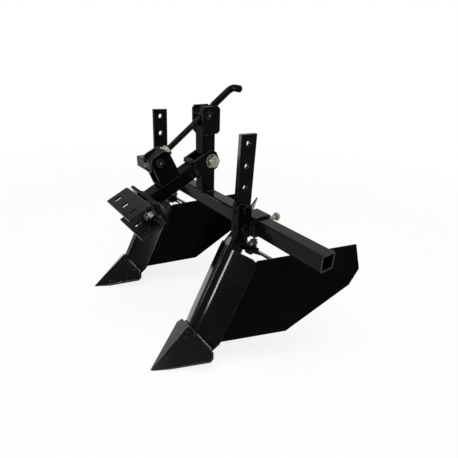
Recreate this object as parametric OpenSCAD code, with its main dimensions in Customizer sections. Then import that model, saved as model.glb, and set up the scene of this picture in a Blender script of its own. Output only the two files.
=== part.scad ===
// Two-row ridger for a walking tractor, with a screw-adjusted hitch arm.
// Millimetres, +X along the cross beam to the left-hand side, -Y the way it travels, +Z up.
// Origin under the middle of the part, on the ground that the share tips touch.

/* [Cross beam] */
// Length of the square cross beam
beam_l = 886; // [780:1:1000]
// Side of the cross beam, the post and the arm
beam_w = 40; // [36:0.5:44]
// Wall of the square tubes
tube_wall = 3.5; // [2.5:0.1:5]
// Outer corner radius of the square tubes
tube_r = 5; // [4:0.1:7]

/* [Post] */
// Height of the post above the cross beam
post_h = 180; // [176:1:184]
// Thickness of the plates on top of the post
cheek_t = 6; // [4:0.1:8]
// Depth of those plates, front to back
cheek_d = 54; // [50:0.5:58]
// Height of those plates
cheek_h = 70; // [66:0.5:76]
// How far the plates overlap the post
cheek_lap = 20; // [14:0.5:24]
// Cut corners of the plates
cheek_cut = 7; // [3:0.5:10]
// Set-forward of the plates' middle from the middle of the beam
cheek_fore = 1; // [0:0.1:3]
// Set-forward of the post from the middle of the beam
post_fore = 3.2; // [2:0.1:4]

/* [Arm pivot] */
// Height of the arm's pivot above the middle of the beam
pivot_z = 109; // [104:0.5:114]
// Radius of the pivot bolt's shank
pivot_r = 10; // [8:0.1:11]
// Hex size of the pivot bolt, across flats
pivot_af = 30; // [27:0.5:32]
// Head height of the pivot bolt
pivot_head = 12.5; // [10:0.5:14]
// Height of the pivot bolt's nut
pivot_nut_h = 16; // [12:0.5:18]
// Bare thread past the pivot nut
pivot_end = 5; // [2:0.5:9]
// Radius of the pivot washers
pivot_washer_r = 18.5; // [17:0.1:21]
// Thickness of the pivot washers
pivot_washer_t = 3; // [2:0.1:4]

/* [Hitch arm] */
// Slope of the arm, down to the front
arm_slope = 25.5; // [22:0.1:29]
// Distance from the pivot to the back of the end plate
arm_l = 198; // [188:0.5:212]
// Thickness of the fork's plate
fork_t = 6; // [4:0.1:8]
// Distance from the pivot to the fork's front wall
fork_reach = 44; // [43.5:0.1:48]
// Length of the fork behind the pivot
fork_tail = 24; // [20:0.5:28]
// Height of the fork
fork_h = 56; // [50:0.5:60]
// Cut rear corners of the fork
fork_cut = 14; // [8:0.5:16]
// Thickness of the yoke's plate
yoke_t = 5; // [4:0.1:6]
// Distance from the pivot to the yoke's rear edge
yoke_s = 97; // [92:0.5:102]
// Length of the yoke's foot
yoke_l = 61; // [57:0.5:66]
// Height of the yoke above the arm tube
yoke_h = 79; // [74:0.5:84]
// Corner radius at the top of the yoke
yoke_r = 16; // [10:0.5:18]
// Distance from the pivot to the yoke's cross axis, along the arm
swivel_s = 130.7; // [128:0.1:133]
// Height of the yoke's cross axis above the arm's middle
swivel_h = 78; // [76:0.1:80]

/* [Hitch] */
// Thickness of the end plate
end_t = 8; // [6:0.1:10]
// Width of the end plate
end_w = 150; // [140:0.5:156]
// Top of the end plate above the arm's middle
end_top = 22; // [20:0.5:26]
// Bottom of the end plate below the arm's middle
end_drop = 44; // [40:0.5:50]
// Space between the end plate and the channel
hitch_gap = 6; // [4:0.1:8]
// Width of the hitch channel
channel_w = 146; // [138:0.5:154]
// Outside height of the hitch channel
channel_h = 73; // [68:0.5:80]
// Depth of the hitch channel, front to back
channel_d = 67; // [62:0.5:74]
// Plate thickness of the hitch channel
channel_t = 6; // [5:0.1:7]
// Outer bend radius of the hitch channel
channel_r = 8; // [7.5:0.1:12]
// Top of the channel above the arm's middle
channel_top = 28.5; // [26:0.5:32]
// Spacing of the slots across the channel
slot_pitch = 49; // [46:0.5:52]
// Length of a hitch slot
slot_l = 24; // [20:0.5:28]
// Width of a hitch slot
slot_w = 14; // [11:0.1:16]
// Distance from the channel's mouth to the middle of the slots
slot_in = 24; // [20:0.5:28]
// Spacing of the two hitch bolts
hitch_pitch = 98; // [94:0.5:104]
// How far the hitch bolts sit below the arm's middle
hitch_bolt_drop = 8; // [6:0.5:10]
// Radius of the hitch bolts
hitch_bolt_r = 8; // [7:0.1:9]
// Hex size of the hitch bolts, across flats
hitch_af = 24; // [22:0.5:27]
// Head height of the hitch bolts
hitch_head = 10; // [8:0.5:12]
// Height of the hitch nuts
hitch_nut_h = 13; // [10:0.5:15]
// Bare thread past the hitch nuts
hitch_end = 9; // [4:0.5:12]
// Radius of the hitch spacers
spacer_r = 15; // [13.5:0.1:17]

/* [Adjusting screw] */
// Height of the nut's cross axis above the middle of the beam
nut_z = 227; // [225:0.1:229]
// Set-forward of the nut's cross axis from the middle of the beam
nut_fore = 8; // [7:0.1:9]
// Radius of the screw
screw_r = 8; // [7:0.1:8.5]
// Radius of the plain upper rod
rod_r = 9; // [8.6:0.1:10]
// Length of screw below the lower cross axis
screw_tail = 33; // [32:0.5:38]
// Length of screw above the upper cross axis
screw_lead = 34; // [32:0.5:38]
// Distance from the upper cross axis to the crank's bend
crank_rise = 110; // [100:0.5:124]
// Bend radius of the crank
crank_bend = 15; // [12:0.5:20]
// Reach of the crank's handle
crank_reach = 34; // [28:0.5:60]
// Turn of the crank's handle about the screw
crank_turn = -3; // [-20:0.5:20]
// Length of the swivel block above its cross axis
swivel_up = 31; // [28:0.5:34]
// Length of the swivel block below its cross axis
swivel_down = 16; // [14:0.5:18]
// Length of the trunnion nut along the screw
nut_l = 30; // [28:0.5:32]
// Depth of both blocks across the screw
block_d = 30; // [28:0.5:32]
// Radius of the cross pins of both blocks
cross_r = 6; // [5:0.1:7]
// How far the cross pins stand out of their plates
cross_out = 1; // [0.5:0.1:3]
// Hex size of the lock nuts on the screw, across flats
lock_af = 24; // [22:0.5:26]
// Height of the lock nuts
lock_h = 13; // [10:0.5:14]
// Radial room of the screw in the trunnion nut
thread_room = 0.5; // [0.4:0.01:0.6]

/* [Rows] */
// Distance of the left row from the middle of the beam
left_row = 222; // [220:0.5:224]
// Distance of the right row from the middle of the beam
right_row = 188; // [187:0.5:192]
// Length of a clamp sleeve along the beam
sleeve_l = 45; // [40:0.5:50]
// Wall of a clamp sleeve
sleeve_wall = 5.7; // [5:0.1:6.5]
// Outer corner radius of a clamp sleeve
sleeve_r = 6; // [4:0.1:8]
// Radius of the set screw
set_r = 6; // [5:0.1:7]
// Length of the set screw below its head
set_l = 46; // [40:0.5:52]
// Hex size of the M12 fasteners, across flats
bolt_af = 19; // [18:0.5:20]
// Head height of the M12 fasteners
bolt_head = 8; // [7:0.1:9]
// Height of the M12 nuts
bolt_nut_h = 10; // [8:0.1:12]
// Bare thread past the M12 nuts
bolt_end = 4; // [2:0.5:7]

/* [Shank] */
// Width of the shank bar, front to back
shank_w = 42.5; // [40:0.5:45]
// Thickness of the shank bar
shank_t = 10; // [8:0.1:12]
// Lean of the shank, top to the rear
shank_lean = 2; // [0:0.1:3]
// Top of the shank above the middle of the beam
shank_top = 219; // [210:0.5:228]
// Lower end of the shank, measured along the nose
shank_foot = 95; // [90:0.5:100]
// Distance from the shank's top to its first hole
hole_edge = 19.5; // [17:0.5:22]
// Number of holes in the shank
hole_count = 5; // [5:1:6]
// Spacing of the shank's holes
hole_pitch = 49.5; // [48:0.1:51]
// Radius of the shank's holes
hole_r = 6.5; // [6.3:0.1:7]
// Radius of the shank bolts
shank_bolt_r = 6; // [5:0.1:6.2]
// Thickness of the plates that hold the shank
grip_t = 6; // [5:0.1:8]
// Depth of those plates, front to back
grip_d = 41; // [38:0.5:44]
// Top of those plates above the middle of the beam
grip_top = 66; // [64:0.5:72]

/* [Nose] */
// Distance of the nose's middle in front of the beam
nose_fore = 133.7; // [132:0.1:135]
// Depth of the nose's middle below the beam
nose_deep = 130.5; // [129:0.1:132]
// Lean of the nose, top to the rear
nose_lean = 28.4; // [27.8:0.1:29]
// Plate thickness of the nose
nose_t = 5; // [4.5:0.1:5.5]
// Outer bend radius of the nose
nose_r = 36; // [34:0.5:38]
// Sweep of the nose's two legs
nose_sweep = 35.5; // [35:0.1:36]
// Width of the nose over its rear edges
nose_w = 141; // [139:0.5:143]
// Height of the nose above its middle
nose_up = 102; // [100:0.5:106]
// Depth of the nose below its middle, at the ridge
nose_down = 128; // [125:0.5:131]
// Extra depth of the nose at its rear edges
nose_drop = 30; // [27:0.5:33]
// Height at which the nose's rear edge starts to run in, below its middle
nick_low = 112; // [108:0.5:116]
// How far the nose's rear edge runs in at the bottom
nick_in = 14; // [10:0.5:18]
// Corner radius at the top of the nose
nose_corner = 18; // [8:0.5:20]

/* [Share] */
// Length of the share along its ridge
share_l = 138.5; // [134:0.5:143]
// Plate thickness of the share
share_t = 8; // [7:0.1:9]
// Lean of the share against the nose
share_lean = 23.9; // [23:0.1:24.8]
// Sweep of the share's two halves
share_sweep = 31; // [30:0.1:32]
// Length of a share half, square to its ridge
share_wing = 97; // [93:0.5:101]
// Height of the share's lower rear corner above its tip
share_rise = 116; // [112:0.5:120]
// Height of the share's upper rear corner above its tip
share_rear = 132; // [128:0.5:135]
// Setting back of the share's upper rear corner
share_trim = 15; // [10:0.5:18]
// Set-forward of the share's upper ridge from the nose
share_fore = 9.8; // [9:0.1:10.6]
// Depth of the share's upper ridge below the nose's middle
share_low = 115; // [113:0.5:117]
// Depth ground off under the share's tip
share_grind = 2; // [1:0.1:4]

/* [Wings] */
// Plate thickness of the wings
wing_t = 4; // [3:0.1:5]
// Sweep of the outer wings
outer_sweep = 52; // [51:0.1:53]
// Sweep of the inner wings
inner_sweep = 55; // [54.6:0.1:56]
// Lower front corner of a wing below the nose's middle
wing_low = 118; // [114:0.5:122]
// Upper front corner of a wing above the nose's middle
wing_high = 102; // [98:0.5:106]
// Length of a wing from the nose's rear edge to its outer edge
wing_l = 227.5; // [220:0.5:232]
// Height of the outer edge's upper end
wing_tip = 183; // [178:0.5:188]
// Distance from the nose's rear edge to a wing's heel
wing_heel = 133.5; // [128:0.5:140]
// Lap of a wing behind the nose's rear edge
wing_lap = 4; // [3:0.1:4.5]
// Depth of a wing's heel below the nose's middle
wing_heel_low = 28; // [22:0.5:34]
// Height of the outer edge's lower end
wing_tip_low = 138; // [132:0.5:144]
// Height of a wing's top corner
wing_peak = 233; // [226:0.5:238]
// Distance of a wing's top corner from the outer edge
wing_peak_in = 33; // [26:0.5:40]

/* [Wing hinges] */
// Outer radius of the hinge barrels
barrel_r = 9; // [8.5:0.1:9.5]
// Radius of the hinge pins
pin_r = 4; // [3.5:0.1:5]
// Radial running room on every turning pin
pin_room = 0.05; // [0.02:0.01:0.1]
// Length of a wing's barrel
barrel_l = 20; // [16:0.5:26]
// Length of each nose barrel beside it
barrel_end_l = 12; // [10:0.5:16]
// Distance of the hinge axis in from the nose's rear edge
hinge_inset = 14; // [13.5:0.1:16]
// Distance of the two hinges from the nose's middle
hinge_up = 68; // [60:0.5:74]
// Thickness of the hinge leaves
leaf_t = 4; // [3:0.1:5]
// Length of the hinge leaves
leaf_l = 30; // [26:0.5:34]
// Radius of the hinge pins' heads
pin_head_r = 6.5; // [6:0.1:8]
// Height of the hinge pins' heads
pin_head = 3; // [2:0.1:4]

/* [Wing straps] */
// Distance of the stud behind the nose's ridge
stud_back = 78; // [77.5:0.1:78.5]
// Level of the bracket that carries the straps
strap_level = 112; // [110:0.5:114]
// Thickness of a strap
strap_t = 5; // [4:0.1:6]
// Width of a strap
strap_w = 25; // [22:0.5:28]
// Distance along the wing from its hinge to the strap's pin
lug_s = 60; // [59.5:0.1:60.5]
// Distance of the strap's pin behind the hinge axis
lug_back = 5.7; // [5.2:0.1:6.2]
// Thickness of the wing lugs and of the bracket
lug_t = 5; // [4:0.1:6]
// Width of the wing lugs
lug_w = 26; // [24:0.5:30]
// Radius of the strap pins
lug_pin_r = 5; // [4:0.1:6]
// Hex size of the strap pins, across flats
lug_af = 17; // [16:0.5:18]
// Head height of the strap pins
lug_head = 6; // [5:0.1:7]
// Radius of the stud
stud_r = 6; // [5:0.1:6.5]
// Room of the stud in the straps' slots
slot_room = 0.4; // [0.3:0.05:0.8]
// Run of a strap's slot from the stud towards the strap's pin
slot_near_run = 18; // [17:0.5:20]
// Run of a strap's slot from the stud away from the strap's pin
slot_far_run = 3; // [1:0.5:5]
// Metal past the ends of a strap
strap_end = 14; // [12:0.5:18]
// Width of the bracket
bracket_w = 44; // [38:0.5:50]
// Length of the bracket past the stud
bracket_end = 20; // [16:0.5:26]
// Radius of the stud's washer
stud_washer_r = 12; // [11:0.1:13]

/* [Fits] */
// Room between parts that slide or turn past each other
slide_room = 0.3; // [0.2:0.05:0.5]
// Room between plates that are bolted or welded up
seat_room = 0.1; // [0.05:0.01:0.2]

/* [Hidden] */
$fn = 48;
eps = 1;
bend_steps = 24;
half_w = beam_w / 2;
// Radius of a hex bar's turned end face, as a share of its size across flats
hex_face = 0.48;

// Hex sizes come across flats; a six-sided cylinder is drawn across corners.
function corner_r(af) = af / 2 / cos(30);

// Arm: distances from the pivot
fork_in = half_w + slide_room;
fork_out = fork_in + fork_t;
fork_front = fork_reach + fork_t;
yoke_out = half_w + yoke_t;
channel_s = arm_l + end_t + hitch_gap;
channel_mouth = channel_s + channel_d;
channel_foot = channel_top - channel_h;
channel_in_r = channel_r - channel_t;
hitch_x = hitch_pitch / 2;

// Adjusting screw: lower and upper cross axes, and the line between them
low_y = -swivel_s * cos(arm_slope) - swivel_h * sin(arm_slope);
low_z = pivot_z - swivel_s * sin(arm_slope) + swivel_h * cos(arm_slope);
screw_dy = -nut_fore - low_y;
screw_dz = nut_z - low_z;
screw_span = sqrt(screw_dy * screw_dy + screw_dz * screw_dz);
screw_slope = atan2(screw_dz, screw_dy);
block_w = beam_w - 2 * slide_room;
cross_top = half_w + cheek_t + cross_out;
cross_low = half_w + yoke_t + cross_out;
crank_y = screw_span + crank_rise;

// Row clamp
sleeve_in = beam_w + 2 * slide_room;
sleeve_out = sleeve_in + 2 * sleeve_wall;
sleeve_half = sleeve_out / 2;
grip_in = shank_t / 2 + seat_room;
grip_out = grip_in + grip_t;
shank_back = -sleeve_half - seat_room;
hole_y = -shank_w / 2;
set_y = half_w + slide_room;
// Shank: heights from the sleeve's top edge, about which it leans
shank_head = shank_top - sleeve_half;
// Height of one of the shank's holes, counted from the top
function hole_h(i) = shank_head - hole_edge - i * hole_pitch;
bolt_rows = [hole_h(hole_count - 2), hole_h(hole_count - 1)];
grip_head = grip_top - sleeve_half;
grip_foot = -sleeve_out;

// Nose: legs and the shank's seat inside the bend
nose_in_r = nose_r - nose_t;
leg_l = (nose_w / 2 - nose_r * sin(nose_sweep)) / cos(nose_sweep);
seat_m = nose_r - sqrt(nose_in_r * nose_in_r - shank_t * shank_t / 4) + seat_room;

// Points of the nose's own frame, turned into the beam's frame
function nose_to_y(m, w) = -nose_fore + m * cos(nose_lean) + w * sin(nose_lean);
function nose_to_z(m, w) = -nose_deep - m * sin(nose_lean) + w * cos(nose_lean);
// Points of the nose's own frame, turned into the leaning shank's frame
function nose_to_sy(m, w) = (nose_to_y(m, w) - shank_back) * cos(shank_lean)
    - (nose_to_z(m, w) - sleeve_half) * sin(shank_lean);
function nose_to_sz(m, w) = (nose_to_y(m, w) - shank_back) * sin(shank_lean)
    + (nose_to_z(m, w) - sleeve_half) * cos(shank_lean);
// Height in the nose's frame at which a line of depth m meets the shank's line at y
function rise_at(y, m) = (y - nose_to_sy(m, 0)) / sin(nose_lean - shank_lean);
knee_front_w = rise_at(-shank_w, seat_m);
knee_back_w = rise_at(0, seat_m + shank_w);

// Hinge axis: behind the leg's rear edge, with the barrels just clear of both plates
barrel_back = barrel_r + slide_room;
hinge_lx = leg_l - hinge_inset;
hinge_ly = -nose_in_r + barrel_back;
hinge_x = hinge_lx * cos(nose_sweep) - hinge_ly * sin(nose_sweep);
hinge_m = nose_r + hinge_lx * sin(nose_sweep) + hinge_ly * cos(nose_sweep);
hinge_half = barrel_l / 2 + slide_room + barrel_end_l;
pin_bore = pin_r + pin_room;

// Wings: places in the wing's frame of the nose's rear edge, and of the lap behind it
function edge_x(sweep) = hinge_inset * cos(sweep - nose_sweep) - barrel_back * sin(sweep - nose_sweep);
lap_in = hinge_inset - wing_lap;
lap_back = barrel_back - slide_room;
function lap_x(sweep) = lap_in * cos(sweep - nose_sweep) - lap_back * sin(sweep - nose_sweep);
// Distance of a wing's front and rear faces in front of its hinge axis
function face_y(sweep) = lap_in * sin(sweep - nose_sweep) + lap_back * cos(sweep - nose_sweep);
function back_y(sweep) = face_y(sweep) - wing_t;

// Straps: levels in the nose's frame, and their lie in the wing's frame
outer_level = strap_level + slide_room;
inner_level = outer_level + strap_t + slide_room;
slot_r = stud_r + slot_room;
function lug_x(sweep) = hinge_x + lug_s * cos(sweep) - lug_back * sin(sweep);
function lug_m(sweep) = hinge_m + lug_s * sin(sweep) + lug_back * cos(sweep);
function strap_turn(sweep) = atan2(stud_back - lug_m(sweep), -lug_x(sweep));
function strap_reach(sweep) = norm([lug_x(sweep), stud_back - lug_m(sweep)]);
stud_top = inner_level + strap_t + slide_room + pivot_washer_t;

// Extent of the part, for its frame
tip_m = -share_fore - share_l * sin(share_lean);
tip_w = -share_low - share_l * cos(share_lean);
ridge_lean = nose_lean + share_lean;
ground_z = nose_to_z(tip_m, tip_w) + share_grind;
front_y = nose_to_y(tip_m, tip_w) + share_grind * tan(ridge_lean);
// Rearmost corners of the inner wings
wing_end = edge_x(inner_sweep) + wing_l;
tip_back_m = hinge_m + wing_end * sin(inner_sweep) - back_y(inner_sweep) * cos(inner_sweep);
peak_back_m = tip_back_m - wing_peak_in * sin(inner_sweep);
rear_y = max(nose_to_y(tip_back_m, wing_tip), nose_to_y(peak_back_m, wing_peak));
mid_y = (front_y + rear_y) / 2;

// Frames

// From the middle of the beam to the part's own origin
module part_frame()
    translate([0, -mid_y, -ground_z])
        children();

// Arm: -Y runs forward along the arm from its pivot
module arm_frame()
    translate([0, 0, pivot_z])
        rotate([arm_slope, 0, 0])
            children();

// Screw: +Y runs up the screw from the lower cross axis
module screw_frame()
    translate([0, low_y, low_z])
        rotate([screw_slope, 0, 0])
            children();

// Row: outer side of the row towards +X; the right row is the mirror image
module row_frame(side)
    translate([side > 0 ? left_row : -right_row, 0, 0])
        mirror([side > 0 ? 0 : 1, 0, 0])
            children();

// Shank: origin at the sleeve's top edge, +Z up the shank, which lies towards -Y
module shank_frame(side)
    row_frame(side)
        translate([0, shank_back, sleeve_half])
            rotate([-shank_lean, 0, 0])
                children();

// Nose: +Z up along the ridge, +Y to the rear
module nose_frame(side)
    row_frame(side)
        translate([0, -nose_fore, -nose_deep])
            rotate([-nose_lean, 0, 0])
                children();

// Wing: +X outward along the wing from its hinge axis, +Y to the wing's rear
module wing_frame(side, inner)
    nose_frame(side)
        mirror([inner ? 1 : 0, 0, 0])
            translate([hinge_x, hinge_m, 0])
                rotate(inner ? inner_sweep : outer_sweep)
                    children();

// Shapes shared by several pieces

// Rectangle with rounded corners, centred
module round_rect(w, h, r) {
    square([w - 2 * r, h], center = true);
    square([w, h - 2 * r], center = true);
    for (x = [-1, 1], y = [-1, 1])
        translate([x * (w / 2 - r), y * (h / 2 - r)])
            circle(r);
}

// Square tube along +Z
module square_tube(w, wall, r, l)
    linear_extrude(l)
        difference() {
            round_rect(w, w, r);
            round_rect(w - 2 * wall, w - 2 * wall, max(r - wall, 0.5));
        }

// Round bar along +X, from x0 to x1
module bar_x(r, x0, x1)
    translate([x0, 0, 0])
        rotate([0, 90, 0])
            cylinder(r = r, h = x1 - x0);

// Round bar along +Y, from y0 to y1
module bar_y(r, y0, y1)
    translate([0, y0, 0])
        rotate([-90, 0, 0])
            cylinder(r = r, h = y1 - y0);

// Hex bar along +Z, with both ends turned down to a cone
module hex_bar(af, h) {
    face_r = af * hex_face;
    body_r = corner_r(af) + eps;
    cone = (body_r - face_r) * tan(30);
    intersection() {
        cylinder(r = corner_r(af), h = h, $fn = 6);
        rotate_extrude()
            polygon([[0, 0], [face_r, 0], [body_r, cone], [body_r, h - cone], [face_r, h], [0, h]]);
    }
}

// Flat plate lying across X: an outline in (y, z), from x0 to x1
module plate_x(x0, x1)
    translate([x0, 0, 0])
        rotate([90, 0, 90])
            linear_extrude(x1 - x0)
                children();

// Root: beam, post and arm pivot

module cross_beam()
    color("dimgray")
        translate([-beam_l / 2, 0, 0])
            rotate([0, 90, 0])
                square_tube(beam_w, tube_wall, tube_r, beam_l);

module centre_post()
    color("dimgray")
        difference() {
            translate([0, -post_fore, half_w])
                square_tube(beam_w, tube_wall, tube_r, post_h);
            translate([0, 0, pivot_z])
                bar_x(pivot_r, -beam_w, beam_w);
        }

// Plate on one side of the post's top, holding the trunnion nut
module post_cheek(side)
    mirror([side > 0 ? 0 : 1, 0, 0])
        difference() {
            translate([0, -cheek_fore, half_w + post_h - cheek_lap])
                plate_x(half_w, half_w + cheek_t)
                    polygon([
                        [-cheek_d / 2 + cheek_cut, 0],
                        [cheek_d / 2 - cheek_cut, 0],
                        [cheek_d / 2, cheek_cut],
                        [cheek_d / 2, cheek_h - cheek_cut],
                        [cheek_d / 2 - cheek_cut, cheek_h],
                        [-cheek_d / 2 + cheek_cut, cheek_h],
                        [-cheek_d / 2, cheek_h - cheek_cut],
                        [-cheek_d / 2, cheek_cut]
                    ]);
            translate([0, -nut_fore, nut_z])
                bar_x(cross_r + pin_room, 0, beam_w);
        }

module post_cheek_left()
    color("dimgray")
        post_cheek(1);

module post_cheek_right()
    color("dimgray")
        post_cheek(-1);

pivot_face = fork_out + slide_room + pivot_washer_t;

module pivot_bolt()
    color("silver")
        translate([0, 0, pivot_z]) {
            bar_x(pivot_r, -pivot_face - pivot_nut_h - pivot_end, pivot_face);
            translate([pivot_face, 0, 0])
                rotate([0, 90, 0])
                    hex_bar(pivot_af, pivot_head);
        }

module pivot_nut()
    color("silver")
        translate([-pivot_face - pivot_nut_h, 0, pivot_z])
            rotate([0, 90, 0])
                difference() {
                    hex_bar(pivot_af, pivot_nut_h);
                    translate([0, 0, -eps])
                        cylinder(r = pivot_r, h = pivot_nut_h + 2 * eps);
                }

module pivot_washers()
    color("silver")
        for (side = [0, 1])
            mirror([side, 0, 0])
                translate([0, 0, pivot_z])
                    difference() {
                        bar_x(pivot_washer_r, pivot_face - pivot_washer_t, pivot_face);
                        bar_x(pivot_r, 0, beam_w);
                    }

// Hitch arm

module arm_fork()
    color("dimgray")
        arm_frame()
            difference() {
                plate_x(-fork_out, fork_out)
                    polygon([
                        [-fork_front, -fork_h / 2],
                        [fork_tail - fork_cut, -fork_h / 2],
                        [fork_tail, -fork_h / 2 + fork_cut],
                        [fork_tail, fork_h / 2 - fork_cut],
                        [fork_tail - fork_cut, fork_h / 2],
                        [-fork_front, fork_h / 2]
                    ]);
                translate([-fork_in, -fork_reach, -fork_h])
                    cube([2 * fork_in, fork_reach + fork_tail + eps, 2 * fork_h]);
                bar_x(pivot_r + pin_room, -beam_w, beam_w);
            }

module arm_tube()
    color("dimgray")
        arm_frame()
            translate([0, -fork_front, 0])
                rotate([90, 0, 0])
                    square_tube(beam_w, tube_wall, tube_r, arm_l - fork_front);

// Side of the yoke in arm lengths: x forward from the pivot, y up from the arm's middle
module yoke_outline() {
    top = half_w + yoke_h;
    front = yoke_s + yoke_l - yoke_t;
    polygon([
        [yoke_s, half_w],
        [yoke_s + yoke_l, half_w],
        [front, top - yoke_r],
        [yoke_s, top - yoke_r]
    ]);
    translate([yoke_s + yoke_r, half_w])
        square([front - yoke_s - 2 * yoke_r, yoke_h]);
    for (s = [yoke_s + yoke_r, front - yoke_r])
        translate([s, top - yoke_r])
            circle(yoke_r);
}

module arm_yoke()
    color("dimgray")
        arm_frame()
            difference() {
                plate_x(-yoke_out, yoke_out)
                    mirror([1, 0])
                        yoke_outline();
                translate([-half_w, -arm_l, half_w + yoke_t])
                    cube([beam_w, arm_l, yoke_h + eps]);
                translate([0, -swivel_s, swivel_h])
                    bar_x(cross_r + pin_room, -beam_w, beam_w);
            }

// Two holes or bars along the arm at the hitch bolts, from s0 to s1
module hitch_pair(r, s0, s1)
    for (x = [-hitch_x, hitch_x])
        translate([x, 0, -hitch_bolt_drop])
            bar_y(r, -s1, -s0);

module end_plate()
    color("dimgray")
        arm_frame()
            difference() {
                translate([-end_w / 2, -arm_l - end_t, -end_drop])
                    cube([end_w, end_t, end_drop + end_top]);
                hitch_pair(hitch_bolt_r + slide_room, arm_l - eps, arm_l + end_t + eps);
            }

// Channel section: x forward from the pivot, y up from the arm's middle
module channel_outline()
    difference() {
        union() {
            translate([channel_s + channel_r, channel_foot])
                square([channel_d - channel_r, channel_h]);
            translate([channel_s, channel_foot + channel_r])
                square([channel_d, channel_h - 2 * channel_r]);
            for (h = [channel_foot + channel_r, channel_top - channel_r])
                translate([channel_s + channel_r, h])
                    circle(channel_r);
        }
        translate([channel_s + channel_r, channel_foot + channel_t])
            square([channel_d, channel_h - 2 * channel_t]);
        translate([channel_s + channel_t, channel_foot + channel_r])
            square([channel_d, channel_h - 2 * channel_r]);
        for (h = [channel_foot + channel_r, channel_top - channel_r])
            translate([channel_s + channel_r, h])
                circle(channel_in_r);
    }

module hitch_slot() {
    run = slot_l - slot_w;
    translate([0, 0, channel_foot - eps])
        linear_extrude(channel_h + 2 * eps) {
            square([slot_w, run], center = true);
            for (y = [-run / 2, run / 2])
                translate([0, y])
                    circle(slot_w / 2);
        }
}

module hitch_channel()
    color("dimgray")
        arm_frame()
            difference() {
                plate_x(-channel_w / 2, channel_w / 2)
                    mirror([1, 0])
                        channel_outline();
                for (x = [-slot_pitch, 0, slot_pitch])
                    translate([x, slot_in - channel_mouth, 0])
                        hitch_slot();
                hitch_pair(hitch_bolt_r + slide_room, arm_l, channel_s + channel_t + eps);
            }

hitch_face = channel_s + channel_t;

module hitch_bolts()
    color("silver")
        arm_frame() {
            hitch_pair(hitch_bolt_r, arm_l, hitch_face + hitch_nut_h + hitch_end);
            for (x = [-hitch_x, hitch_x])
                translate([x, -arm_l, -hitch_bolt_drop])
                    rotate([-90, 0, 0])
                        hex_bar(hitch_af, hitch_head);
        }

module hitch_nuts()
    color("silver")
        arm_frame()
            difference() {
                for (x = [-hitch_x, hitch_x])
                    translate([x, -hitch_face, -hitch_bolt_drop])
                        rotate([90, 0, 0])
                            hex_bar(hitch_af, hitch_nut_h);
                hitch_pair(hitch_bolt_r, arm_l, hitch_face + hitch_nut_h + eps);
            }

module hitch_spacers()
    color("silver")
        arm_frame()
            difference() {
                hitch_pair(spacer_r, arm_l + end_t, channel_s);
                hitch_pair(hitch_bolt_r + slide_room, arm_l, hitch_face);
            }

// Adjusting screw

// Square block on two cross pins, with the screw along Y from y0 to y1
module cross_block(y0, y1, pin_end, bore)
    difference() {
        union() {
            translate([-block_w / 2, y0, -block_d / 2])
                cube([block_w, y1 - y0, block_d]);
            bar_x(cross_r, -pin_end, pin_end);
        }
        bar_y(bore, y0 - eps, y1 + eps);
    }

module swivel_block()
    color("gray")
        screw_frame()
            cross_block(-swivel_down, swivel_up, cross_low, screw_r + pin_room);

module trunnion_nut()
    color("gray")
        screw_frame()
            translate([0, screw_span, 0])
                cross_block(-nut_l / 2, nut_l / 2, cross_top, screw_r + thread_room);

module crank_screw()
    color("gray")
        screw_frame()
            rotate([0, -crank_turn, 0]) {
                bar_y(screw_r, -screw_tail, screw_span + screw_lead);
                bar_y(rod_r, screw_span + screw_lead, crank_y - crank_bend);
                translate([crank_bend, crank_y - crank_bend, 0])
                    rotate([0, 0, 90])
                        rotate_extrude(angle = 90)
                            translate([crank_bend, 0])
                                circle(rod_r);
                translate([0, crank_y, 0])
                    bar_x(rod_r, crank_bend, crank_reach);
            }

module lock_nuts()
    color("silver")
        screw_frame()
            difference() {
                for (y = [-swivel_down - slide_room - lock_h, swivel_up + slide_room])
                    translate([0, y, 0])
                        rotate([-90, 0, 0])
                            hex_bar(lock_af, lock_h);
                bar_y(screw_r, -screw_tail - eps, screw_span);
            }

// Row clamp and shank

module sleeve(side)
    row_frame(side)
        difference() {
            union() {
                translate([-sleeve_l / 2, 0, 0])
                    rotate([0, 90, 0])
                        linear_extrude(sleeve_l)
                            round_rect(sleeve_out, sleeve_out, sleeve_r);
                translate([0, sleeve_half, 0])
                    rotate([-90, 0, 0])
                        hex_bar(bolt_af, bolt_nut_h);
            }
            translate([-sleeve_l, 0, 0])
                rotate([0, 90, 0])
                    linear_extrude(2 * sleeve_l)
                        round_rect(sleeve_in, sleeve_in, tube_r);
            bar_y(set_r, 0, sleeve_out);
        }

// Plates welded to the sleeve's front, one on each side of the shank
module grips(side)
    difference() {
        shank_frame(side)
            for (hand = [0, 1])
                mirror([hand, 0, 0])
                    difference() {
                        plate_x(grip_in, grip_out)
                            polygon([
                                [grip_t, grip_foot],
                                [grip_t, grip_head - 2 * grip_t],
                                [grip_t - grip_d, grip_head],
                                [-grip_d, grip_head - grip_t],
                                [-grip_d, grip_foot + grip_t],
                                [grip_t - grip_d, grip_foot]
                            ]);
                        for (z = bolt_rows)
                            translate([0, hole_y, z])
                                bar_x(hole_r, 0, beam_w);
                    }
        row_frame(side)
            translate([-beam_w, -sleeve_half, -beam_w * 2])
                cube([beam_w * 2, beam_w, beam_w * 4]);
    }

module set_screw(side)
    row_frame(side) {
        bar_y(set_r, set_y, set_y + set_l);
        translate([0, set_y + set_l, 0])
            rotate([-90, 0, 0])
                hex_bar(bolt_af, bolt_head);
    }

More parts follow.
